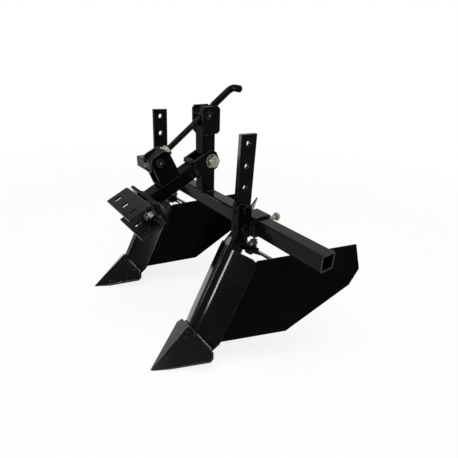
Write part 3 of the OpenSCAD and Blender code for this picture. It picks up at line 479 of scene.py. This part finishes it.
def lay_along(piece, start, end):
    """Turns a piece that stands on +Z to run from start to end, and applies that."""
    turn = (end - start).to_track_quat("Z", "Y").to_matrix().to_4x4()
    piece.matrix_world = Matrix.Translation(start) @ turn
    apply_place()


def gather(name, parts, body, material):
    """Joins parts into one piece that rides on a body."""
    start_clean()
    for part in parts:
        part.select_set(True)
    bpy.context.view_layer.objects.active = parts[0]
    if len(parts) > 1:
        bpy.ops.object.join()
    piece = bpy.context.object
    piece.name = name
    piece.data.name = name
    piece.data.materials.clear()
    piece.data.materials.append(material)
    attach(piece, body)
    return piece


print("modelling helpers ready")

# %% [markdown]
# ## Weld beads
#
# A weld is laid as a row of small overlapping pools, each one frozen before the next. One pool is a
# sphere pressed flat, and an Array modifier lays it again and again along the seam. Shaking the
# vertices a little keeps the row from looking machined. The beads are painted with the plates, so they
# take the same finish and show as a ripple in the gloss.

# %% One run of weld
POOL_FLAT, POOL_STEP, POOL_SHAKE = 0.62, 0.62, 0.1
seeds = itertools.count(1)


def weld_run(start, end, size):
    start_clean()
    radius = size / 1000
    length = (end - start).length
    bpy.ops.mesh.primitive_uv_sphere_add(segments=12, ring_count=8, radius=radius)
    bead = bpy.context.object
    edit_all()
    bpy.ops.transform.resize(value=(1, 1, POOL_FLAT))
    leave_edit()
    row = bead.modifiers.new("row", "ARRAY")
    row.count = max(2, int(length / (radius * POOL_STEP)))
    row.use_relative_offset = False
    row.use_constant_offset = True
    row.constant_offset_displace = (0, 0, length / row.count)
    bpy.ops.object.modifier_apply(modifier="row")
    edit_all()
    bpy.ops.transform.vertex_random(offset=radius * POOL_SHAKE, seed=next(seeds))
    leave_edit()
    bpy.ops.object.shade_smooth()
    lay_along(bead, start, end)
    return bead


def weld_path(space, points, size=2.6):
    """Runs of weld through several points of one working frame, in millimetres."""
    places = [space @ mm(*p) for p in points]
    return [weld_run(a, b, size) for a, b in zip(places, places[1:])]


def flipped(points):
    """The same points on the other side of the middle."""
    return [(-x, y, z) for x, y, z in points]


# %% [markdown]
# ### Welds of the beam and the post
#
# The post stands on the beam, set a little to the front, and carries two cheek plates at its top. The
# seams are at the post's foot and where the cheeks lap the post's sides.

# %% Weld the post
HALF_TUBE, HALF_FLAT = 20, 14
FOOT_SIDE = (-14, 13)
FOOT_ENDS = ((-20.6, 18.6), (17.6, 19.2))
CHEEK_EDGES, CHEEK_LAP = (-23, 16.6), (181, 199)
CHEEK_FOOT, CHEEK_LOW = (-17, 11), 179.6
runs = []
for x in (-HALF_TUBE, HALF_TUBE):
    runs += weld_path(beam_middle, [(x, y, HALF_TUBE) for y in FOOT_SIDE], 3.2)
    for y in CHEEK_EDGES:
        runs += weld_path(beam_middle, [(x * 0.92, y, z) for z in CHEEK_LAP])
    runs += weld_path(beam_middle, [(x * 1.02, y, CHEEK_LOW) for y in CHEEK_FOOT], 2.8)
for y, z in FOOT_ENDS:
    runs += weld_path(beam_middle, [(-HALF_FLAT, y, z), (HALF_FLAT, y, z)], 3.0)
frame_welds = gather("frame_welds", runs, "frame", frame_paint)
print(frame_welds.name, len(frame_welds.data.polygons), "faces")

# %% [markdown]
# ### Welds of the hitch arm
#
# The arm's tube butts against the fork behind and the end plate in front, with a seam on all four
# sides, and the yoke's foot is seamed along both sides of the tube. Where the fork's web stands above
# the tube, the corner is filled up with three heavy, rough runs.

# %% Weld the arm
FORK_SEAM, PLATE_SEAM = -51, -197
YOKE_SIDE, YOKE_FOOT, YOKE_UP = 19.6, (-99, -156), 18.4
WEB_RUNS = ((-51.5, 23, 4.6), (-48.5, 27.6, 3.8), (-45.5, 27.2, 3.2))


def ring_of_welds(space, y):
    """Seams on the four flat sides of a square tube."""
    runs = []
    for side in (-HALF_TUBE, HALF_TUBE):
        runs += weld_path(space, [(-HALF_FLAT, y, side), (HALF_FLAT, y, side)], 3.2)
        runs += weld_path(space, [(side, y, -HALF_FLAT), (side, y, HALF_FLAT)], 3.2)
    return runs


runs = ring_of_welds(arm_frame, FORK_SEAM) + ring_of_welds(arm_frame, PLATE_SEAM)
for x in (-YOKE_SIDE, YOKE_SIDE):
    runs += weld_path(arm_frame, [(x, y, YOKE_UP) for y in YOKE_FOOT], 3.0)
for y, z, size in WEB_RUNS:
    runs += weld_path(arm_frame, [(-HALF_TUBE, y, z), (HALF_TUBE, y, z)], size)
arm_welds = gather("arm_welds", runs, "arm", frame_paint)
print(arm_welds.name, len(arm_welds.data.polygons), "faces")

# %% [markdown]
# ### Welds of a row
#
# In each row the two grip plates are welded to the sleeve's front, a nut for the set screw to its back,
# the shank into the bend of the nose, the bracket to the shank and the share to the nose. The share's
# seam follows the nose's own section: a bend between two flat legs. Its outer ends take the pins' bright
# steel instead of paint, as a painted highlight for the bright line along the share's top edge.

# %% Where the share's seam lies
SHARE_LEAN, SHARE_SWEEP = math.radians(23.9), math.radians(31)
SHARE_L, SHARE_REAR, SHARE_WING, SHARE_TRIM = 138.5, 132, 97, 15
SHARE_LOW, SHARE_FORE = 115, 9.8
SEAM_STEPS, SEAM_PAINTED = (0, 6, 12, 18, 24, 40, 62), 5
SEAM_SUNK, SEAM_UP = 1.4, 0.8


def nose_face(x):
    """Depth of the nose's outer face at a distance from its middle."""
    bend_end = NOSE_R * math.sin(NOSE_SWEEP)
    if abs(x) < bend_end:
        return NOSE_R - math.sqrt(NOSE_R ** 2 - x * x)
    return NOSE_R - NOSE_R * math.cos(NOSE_SWEEP) + (abs(x) - bend_end) * math.tan(NOSE_SWEEP)


def share_seam():
    """Points in the nose's frame, from its middle outwards, on top of the share's edge."""
    far_x = (SHARE_WING - SHARE_TRIM) * math.cos(SHARE_SWEEP)
    points = []
    for x in SEAM_STEPS:
        back = x * math.tan(SHARE_SWEEP)
        drop = (SHARE_L - SHARE_REAR) * x / far_x
        edge_y = back * math.cos(SHARE_LEAN) - drop * math.sin(SHARE_LEAN) - SHARE_FORE
        edge_z = -back * math.sin(SHARE_LEAN) - drop * math.cos(SHARE_LEAN) - SHARE_LOW
        y = nose_face(x) - SEAM_SUNK
        points.append((x, y, edge_z - (y - edge_y) * math.tan(SHARE_LEAN) + SEAM_UP))
    return points


seam = share_seam()
print("seam of a share:", [tuple(round(v, 1) for v in p) for p in seam])

# %% Weld the rows
SLEEVE_FRONT, SLEEVE_BACK = -26.4, 26.6
GRIP_X, GRIP_HALF, NUT_CORNER = 12, 18, 10.97
SHANK_EDGE, SHANK_SEAM = 6.8, (-92, 97)
BRACKET_BACK, BRACKET_HALF, BRACKET_FACES = 48.3, 4, (112.4, 106.4)
HINGE_UPS, LEAF_END = (-68, 68), 30.4
KNUCKLE_NEAR, KNUCKLE_FAR = 10.6, 22
LEAF_INSIDE = -(NOSE_R - NOSE_T) + 0.4


def row_runs(side):
    row, nose = row_frames[side], nose_frames[side]
    runs = []
    for x in (-GRIP_X, GRIP_X):
        runs += weld_path(row, [(x, SLEEVE_FRONT, -GRIP_HALF), (x, SLEEVE_FRONT, GRIP_HALF)], 3.0)
    turns = [math.radians(60 * k) for k in range(7)]
    runs += weld_path(row, [(NUT_CORNER * math.cos(a), SLEEVE_BACK, NUT_CORNER * math.sin(a))
                            for a in turns], 2.2)
    for x in (-SHANK_EDGE, SHANK_EDGE):
        runs += weld_path(nose, [(x, SHANK_EDGE, z) for z in SHANK_SEAM], 3.0)
    for z in BRACKET_FACES:
        runs += weld_path(nose, [(-BRACKET_HALF, BRACKET_BACK, z), (BRACKET_HALF, BRACKET_BACK, z)], 2.2)
    painted = seam[:SEAM_PAINTED]
    runs += weld_path(nose, painted, 2.8) + weld_path(nose, flipped(painted), 2.8)
    for hand in WINGS:
        for up, end in itertools.product(HINGE_UPS, (-1, 1)):
            heights = (up + end * KNUCKLE_NEAR, up + end * KNUCKLE_FAR)
            runs += weld_path(leg_frames[side, hand],
                              [(HINGE_ALONG - LEAF_END, LEAF_INSIDE, z) for z in heights], 2.0)
    return runs


for side in ROWS:
    welds = gather(side + "_row_welds", row_runs(side), side + "_row", plate_paint)
    # Bright steel on the seam's outer ends: a painted highlight along the share's top edge.
    bright_seam = seam[SEAM_PAINTED - 1:]
    nose = nose_frames[side]
    bright_seam_runs = weld_path(nose, bright_seam, 3.2) + weld_path(nose, flipped(bright_seam), 3.2)
    seams = gather(side + "_bright_seam_welds", bright_seam_runs, side + "_row", steel_and_glint)
    print(welds.name, len(welds.data.polygons), "faces,", seams.name, len(seams.data.polygons), "faces")

# %% [markdown]
# ### Welds of the wings
#
# Each wing has two hinge leaves and one lug on its back. A leaf is seamed along its two long edges and
# its end, and a lug above and below its root.

# %% Weld the wings
LEAF_START, LEAF_HALF = 8, 10.4
LUG_ROOT, LUG_T, LUG_SEAM = (49, 71), 5, 0.3
LUG_TOPS = {"outer": 112, "inner": 117.3}
PLATE_BACKS = {"outer": 7.1, "inner": 7.4}
for (side, hand), space in wing_frames.items():
    lug_top, y = LUG_TOPS[hand], -PLATE_BACKS[hand]
    runs = []
    for up in HINGE_UPS:
        runs += weld_path(space, [(LEAF_START, y, up + LEAF_HALF), (LEAF_END, y, up + LEAF_HALF),
                                  (LEAF_END, y, up - LEAF_HALF), (LEAF_START, y, up - LEAF_HALF)], 2.0)
    for z in (lug_top + LUG_SEAM, lug_top - LUG_T - LUG_SEAM):
        runs += weld_path(space, [(x, y, z) for x in LUG_ROOT], 2.2)
    wing = "%s_%s_wing" % (side, hand)
    welds = gather(wing + "_welds", runs, wing, wing_paint)
    print(welds.name, len(welds.data.polygons), "faces")

# %% [markdown]
# ## Cut threads
#
# Where a bolt's end stands out of its nut, the real thread shows as a fine ridge winding round it. A
# ridge is easiest as a small trapezoid that a Screw modifier carries round and up, one pitch a turn. Its
# two open ends are filled, so that it is a closed piece, and it is sunk a little into the bolt.

# %% One ridge of thread
RIDGE_FOOT, RIDGE_TOP = 0.92, 0.26
RIDGE_SUNK, RIDGE_OUT = 0.25, 0.28
MERGE = 0.000002


def thread_ridge(start, end, root, crest, pitch, steps=28):
    start_clean()
    middle = Vector(((crest + root) / 2000, 0, pitch / 2000))
    bpy.ops.mesh.primitive_plane_add(size=1, location=middle, rotation=(math.pi / 2, 0, 0))
    ridge = bpy.context.object
    apply_place()
    edit_all()
    bpy.ops.transform.resize(value=((crest - root) / 1000, 1, pitch * RIDGE_FOOT / 1000),
                             center_override=middle)
    pick(ridge, lambda co: co.x > middle.x)
    bpy.ops.transform.resize(value=(1, 1, RIDGE_TOP), center_override=middle)
    bpy.ops.mesh.select_all(action="SELECT")
    bpy.ops.mesh.delete(type="ONLY_FACE")
    leave_edit()
    wind = ridge.modifiers.new("wind", "SCREW")
    wind.axis = "Z"
    wind.screw_offset = pitch / 1000
    wind.iterations = max(1, int((end - start).length * 1000 / pitch))
    wind.steps = steps
    wind.render_steps = steps
    bpy.ops.object.modifier_apply(modifier="wind")
    edit_all()
    bpy.ops.mesh.remove_doubles(threshold=MERGE)
    bpy.ops.mesh.fill_holes(sides=4)
    face_outward()
    leave_edit()
    smooth_by(35)
    lay_along(ridge, start, end)
    return ridge


def thread_on(name, space, ends, thread, body, finish=zinc):
    """Ridges on the bare ends of bolts, each from one point to another in millimetres."""
    radius, pitch = thread
    ridges = [thread_ridge(space @ mm(*a), space @ mm(*b), radius - RIDGE_SUNK, radius + RIDGE_OUT, pitch)
              for a, b in ends]
    return gather(name, ridges, body, finish)


# %% Thread the bolts of the frame and the arm
SMALL_THREAD, HITCH_THREAD, PIVOT_THREAD = (6, 1.75), (8, 2.0), (10, 2.5)
PIVOT_ENDS = [((-45.7, 0, PIVOT_UP), (-50.7, 0, PIVOT_UP))]
HITCH_ENDS = [((x, -231, -8), (x, -239.4, -8)) for x in (-49, 49)]
pivot_thread = thread_on("pivot_thread", beam_middle, PIVOT_ENDS, PIVOT_THREAD, "frame")
hitch_thread = thread_on("hitch_threads", arm_frame, HITCH_ENDS, HITCH_THREAD, "arm")
print("threads:", pivot_thread.name, hitch_thread.name)

# %% Thread the bolts of the rows
SET_ENDS = [((0, 36.1, 0), (0, 66.2, 0))]
BOLT_X, BOLT_OUT, BOLT_Y, BOLT_UPS = -21.2, 3.8, -21.25, (-24.5, 25)
BOLT_ENDS = [((BOLT_X, BOLT_Y, z), (BOLT_X - BOLT_OUT, BOLT_Y, z)) for z in BOLT_UPS]
STUD_ENDS = [((0, 78, 135.9), (0, 78, 139.8))]
for side in ROWS:
    body = side + "_row"
    thread_on(side + "_set_thread", row_frames[side], SET_ENDS, SMALL_THREAD, body)
    bolts = thread_on(side + "_bolt_threads", shank_frames[side], BOLT_ENDS, SMALL_THREAD, body,
                      plate_paint)
    stud = thread_on(side + "_stud_thread", nose_frames[side], STUD_ENDS, SMALL_THREAD, body,
                     dark_zinc)
    print("threads of the", side, "row:", bolts.name, stud.name)

# %% [markdown]
# ## Ends of the cross pins
#
# The swivel block hangs in the yoke, and the screw's nut hangs between the cheeks of the post, on short
# pins. Each pin's end is riveted over a flat ring, and the ring is painted with the plate. The pin's
# middle takes bright steel, a painted glint for the small crescent of light on the pin's end. A ring or a
# middle is a disc that is extruded up, inset for its rim and sunk inside the rim. Both are made from the
# same few steps.

# %% One dished disc
def dished_disc(centre, outward, radius, height, rim):
    start_clean()
    bpy.ops.mesh.primitive_circle_add(vertices=40, radius=radius / 1000, fill_type="NGON")
    disc = bpy.context.object
    edit_all()
    extrude(0, 0, height / 1000)
    bpy.ops.mesh.inset(thickness=rim / 1000)
    bpy.ops.mesh.inset(thickness=rim / 1000)
    bpy.ops.transform.translate(value=(0, 0, -height * 0.5 / 1000))
    face_outward()
    leave_edit()
    smooth_by(35)
    lay_along(disc, centre, centre + outward)
    return disc


# %% Rings and bare middles
YOKE_FACE, CHEEK_FACE = 25, 26
RING_OFF, RING = 0.15, (10.5, 1.2, 1.0)
MIDDLE_OFF, MIDDLE = 0.4, (3.2, 1.5, 0.7)
for name, axis, face, body in (("swivel", swivel_axis, YOKE_FACE, "swivel"),
                               ("nut", nut_axis, CHEEK_FACE, "screw_nut")):
    rings, middles = [], []
    for way in (-1, 1):
        outward = Vector((way, 0, 0))
        rings.append(dished_disc(axis + mm(way * (face + RING_OFF), 0, 0), outward, *RING))
        middles.append(dished_disc(axis + mm(way * (face + MIDDLE_OFF), 0, 0), outward, *MIDDLE))
    ring_piece = gather(name + "_pin_rings", rings, body, frame_paint)
    # Bright steel middles: a painted glint on each pin's end.
    middle_piece = gather(name + "_pin_middles", middles, body, steel_and_glint)
    print(ring_piece.name, middle_piece.name)

# %% [markdown]
# ## The adjusting screw and its crank
#
# This is the one turned piece that is looked at closely. The drawing has it as a plain bar of the
# thread's outer size, so it is modelled again here with a real thread and takes the bar's place. The
# plain upper rod is a disc that is extruded up, spun through a right angle and extruded again, as the
# real bar is bent cold round a peg. The handle's end is rounded over by a bevel.

# %% The threaded part
SCREW_R, SCREW_ROOT, SCREW_TAIL, SCREW_LEAD, SCREW_PITCH = 8.0, 6.5, 33, 34, 4
CORE_OVER, TIP_INSET, TIP_OUT = 0.0001, 0.0012, 0.0004
tail = screw_frame @ mm(0, -SCREW_TAIL, 0)
lead = screw_frame @ mm(0, screw_span + SCREW_LEAD, 0)
start_clean()
thread_length = (lead - tail).length
bpy.ops.mesh.primitive_cylinder_add(vertices=48, radius=SCREW_ROOT / 1000 + CORE_OVER,
                                    depth=thread_length, location=(0, 0, thread_length / 2))
core = bpy.context.object
apply_place()
bpy.ops.object.mode_set(mode="EDIT")
pick(core, lambda centre: centre.z < 0.0001, "FACE")
bpy.ops.mesh.inset(thickness=TIP_INSET)
bpy.ops.transform.translate(value=(0, 0, -TIP_OUT))
leave_edit()
smooth_by(35)
lay_along(core, tail, lead)
ridge = thread_ridge(tail + (lead - tail) * 0.004, lead, SCREW_ROOT - 0.2, SCREW_R - 0.02,
                     SCREW_PITCH, 36)
screw_thread = gather("screw_thread", [core, ridge], "crank", screw_steel)
print(screw_thread.name, len(screw_thread.data.polygons), "faces")

# %% The rod and its handle
ROD_R, CRANK_RISE, CRANK_BEND, CRANK_REACH, CRANK_TURN = 9, 110, 15, 34, -3
straight = (CRANK_RISE - SCREW_LEAD - CRANK_BEND) / 1000
bend = CRANK_BEND / 1000
start_clean()
bpy.ops.mesh.primitive_circle_add(vertices=48, radius=ROD_R / 1000, fill_type="NGON")
rod = bpy.context.object
edit_all()
extrude(0, 0, straight)
bpy.ops.mesh.spin(steps=14, angle=-math.pi / 2, center=(bend, 0, straight), axis=(0, 1, 0))
extrude((CRANK_REACH - CRANK_BEND) / 1000, 0, 0)
leave_edit()
reach = max(v.co.x for v in rod.data.vertices)
print("handle reaches %.1f mm to the side" % (reach * 1000))

# %% Round the handle's end and set the rod in place
HAIR = 0.00001
edit_all()
bpy.ops.mesh.remove_doubles(threshold=MERGE)
bpy.ops.mesh.normals_make_consistent(inside=False)
pick(rod, lambda co: co.x > reach - HAIR)
bpy.ops.mesh.bevel(offset=0.0016, segments=3, affect="EDGES")
pick(rod, lambda co: co.z < HAIR)
bpy.ops.mesh.bevel(offset=0.001, segments=2, affect="EDGES")
leave_edit()
smooth_by(40)
rod.matrix_world = (screw_frame @ shift(0, screw_span + SCREW_LEAD, 0) @ tilt(-CRANK_TURN, "Y")
                    @ tilt(-90))
apply_place()
crank_rod = gather("crank_rod", [rod], "crank", frame_paint)
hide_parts("crank_screw")
print(crank_rod.name, [[round(v * 1000) for v in crank_rod.bound_box[k]] for k in (0, 6)])

# %% [markdown]
# ## Floor, light and white surroundings
#
# The part is shown on white, as in a catalogue. The world is white where the camera or a reflection
# looks at it, and a little softer for what it sheds on the object. The floor is a pale plane that is
# mostly white to the camera too, but keeps a part of its own shading, and with it the object's shadow.
# A lamp high in front draws the bright line where the bend of a nose runs out into its flat leg, and
# lets it fade towards the share. A fainter, taller one at the front left draws the second line. Both
# are kept out of the diffuse light, so that they only shine in the paint. The one in front is linked to
# the noses, the shares and the bare hardware alone, because seen from behind it would glare on the flat
# top of the beam, as a lamp would that a photographer hadn't shaded. A wide lamp overhead lights
# the object and its floor. A photographer's black card, which only reflections see, draws the dark
# line along the rounded corner of the beam.

# %% White world
FILL_COLOUR, FILL_STRENGTH = (0.93, 0.96, 1.0, 1), 0.5
WHITE = grey(1)
world = bpy.data.worlds.new("white_studio")
bpy.context.scene.world = world
world.use_nodes = True
world.node_tree.nodes.clear()
studio = Nodes(world.node_tree)
fill = studio.add("Background", None, {"Color": FILL_COLOUR, "Strength": FILL_STRENGTH})
white = studio.add("Background", None, {"Color": WHITE, "Strength": 1.0})
either = studio.add("MixShader", None, {0: studio.looked_at(), 1: fill, 2: white})
sky = studio.tree.nodes.new("ShaderNodeOutputWorld")
studio.feed(sky.inputs["Surface"], either)
print("world:", world.name)

# %% Pale floor
FLOOR_SIZE, FLOOR_DROP = 24, 0.0005
NEAR_WHITE, FADE = 0.84, (0.7, 2.2)
start_clean()
bpy.ops.mesh.primitive_plane_add(size=FLOOR_SIZE, location=(0, 0, -FLOOR_DROP))
floor = bpy.context.object
floor.name = "pale_floor"
paper = Finish("pale_paper")
paper.set(Base_Color=paper.blend(paper.noise(3.0, 3.0).above(0.3, 0.7), grey(0.90), grey(0.93)))
paper.set(Roughness=0.9, Specular_IOR_Level=0.1)
lit = Wire(paper, paper.shader.outputs[0])
glow = paper.add("Emission", None, {"Color": WHITE, "Strength": 1.0})
distance = paper.vector("LENGTH", paper.place, out=1)
white_part = NEAR_WHITE + distance.above(*FADE) * (1 - NEAR_WHITE)
surface = paper.add("MixShader", None, {0: paper.looked_at() * white_part, 1: lit, 2: glow})
paper.feed(paper.tree.nodes["Material Output"].inputs["Surface"], surface)
floor.data.materials.append(paper.material)
print("floor:", floor.name)

# %% Soft lamps
def soft_lamp(name, place, target, size, power, only_shine=False):
    start_clean()
    bpy.ops.object.light_add(type="AREA", location=place)
    lamp = bpy.context.object
    lamp.name = name
    lamp.data.shape = "RECTANGLE"
    lamp.data.size, lamp.data.size_y = size
    lamp.data.energy = power
    lamp.rotation_euler = (target - place).to_track_quat("-Z", "Y").to_euler()
    lamp.visible_diffuse = not only_shine


aim = beam_middle.translation
near_nose = nose_frames["left"].translation
soft_lamp("front_lamp", beam_middle @ mm(733, -2042, 450), near_nose, (0.36, 0.72), 160, True)
soft_lamp("front_left_lamp", aim + Vector((-1.45, -1.45, 0.25)), aim, (0.2, 1.2), 16, True)
soft_lamp("overhead_lamp", aim + Vector((0.3, -0.3, 1.9)), aim, (1.8, 1.8), 36)

# %% What the front lamp shines on
SHINE_WORDS = ("nose", "share", "bolt", "nut", "washer", "screw")
shining = bpy.data.collections.new("front_lamp_shines_on")
for name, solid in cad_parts.items():
    if any(word in name for word in SHINE_WORDS):
        shining.objects.link(solid)
bpy.data.objects["front_lamp"].light_linking.receiver_collection = shining

# %% Black card
CARD_SIZE, CARD_AWAY = 1.2, Vector((-1.52, -1.1, 1.1))
start_clean()
bpy.ops.mesh.primitive_plane_add(size=CARD_SIZE, location=aim + CARD_AWAY,
                                 rotation=CARD_AWAY.to_track_quat("-Z", "Y").to_euler())
card = bpy.context.object
card.name = "black_card"
felt = Finish("black_felt")
felt.set(Base_Color=grey(0), Roughness=1.0, Specular_IOR_Level=0.0)
card.data.materials.append(felt.material)
card.visible_camera = False
card.visible_diffuse = False
card.visible_shadow = False
print("card:", card.name)

# %% [markdown]
# ## The camera
#
# The camera stands at the photograph's own place: in front of the left-hand row, a little higher than
# the crank's handle, turned 52 degrees and looking 26 degrees down with a wide lens. Its three axes are
# worked out from those angles, so that no tracking constraint is needed.

# %% Set the camera
CAMERA_AT, LENS, SENSOR, CLIP_START = (793.4, -525.4, 363.8), 27.28, 36, 0.01
yaw, pitch, roll = math.radians(52.25), math.radians(26.35), math.radians(-2.07)
ahead = Vector((-math.sin(yaw) * math.cos(pitch), math.cos(yaw) * math.cos(pitch), -math.sin(pitch)))
right = Vector((math.cos(yaw), math.sin(yaw), 0))
down = ahead.cross(right)
across = math.cos(roll) * right + math.sin(roll) * down
below = -math.sin(roll) * right + math.cos(roll) * down
start_clean()
bpy.ops.object.camera_add()
camera = bpy.context.object
camera.name = "photo_camera"
axes = Matrix((across, -below, -ahead)).transposed().to_4x4()
camera.matrix_world = Matrix.Translation(beam_middle @ mm(*CAMERA_AT)) @ axes
camera.data.sensor_width = SENSOR
camera.data.lens = LENS
camera.data.clip_start = CLIP_START
bpy.context.scene.camera = camera
bpy.context.scene.view_settings.view_transform = "Standard"
print("camera at", [round(v, 3) for v in camera.location])
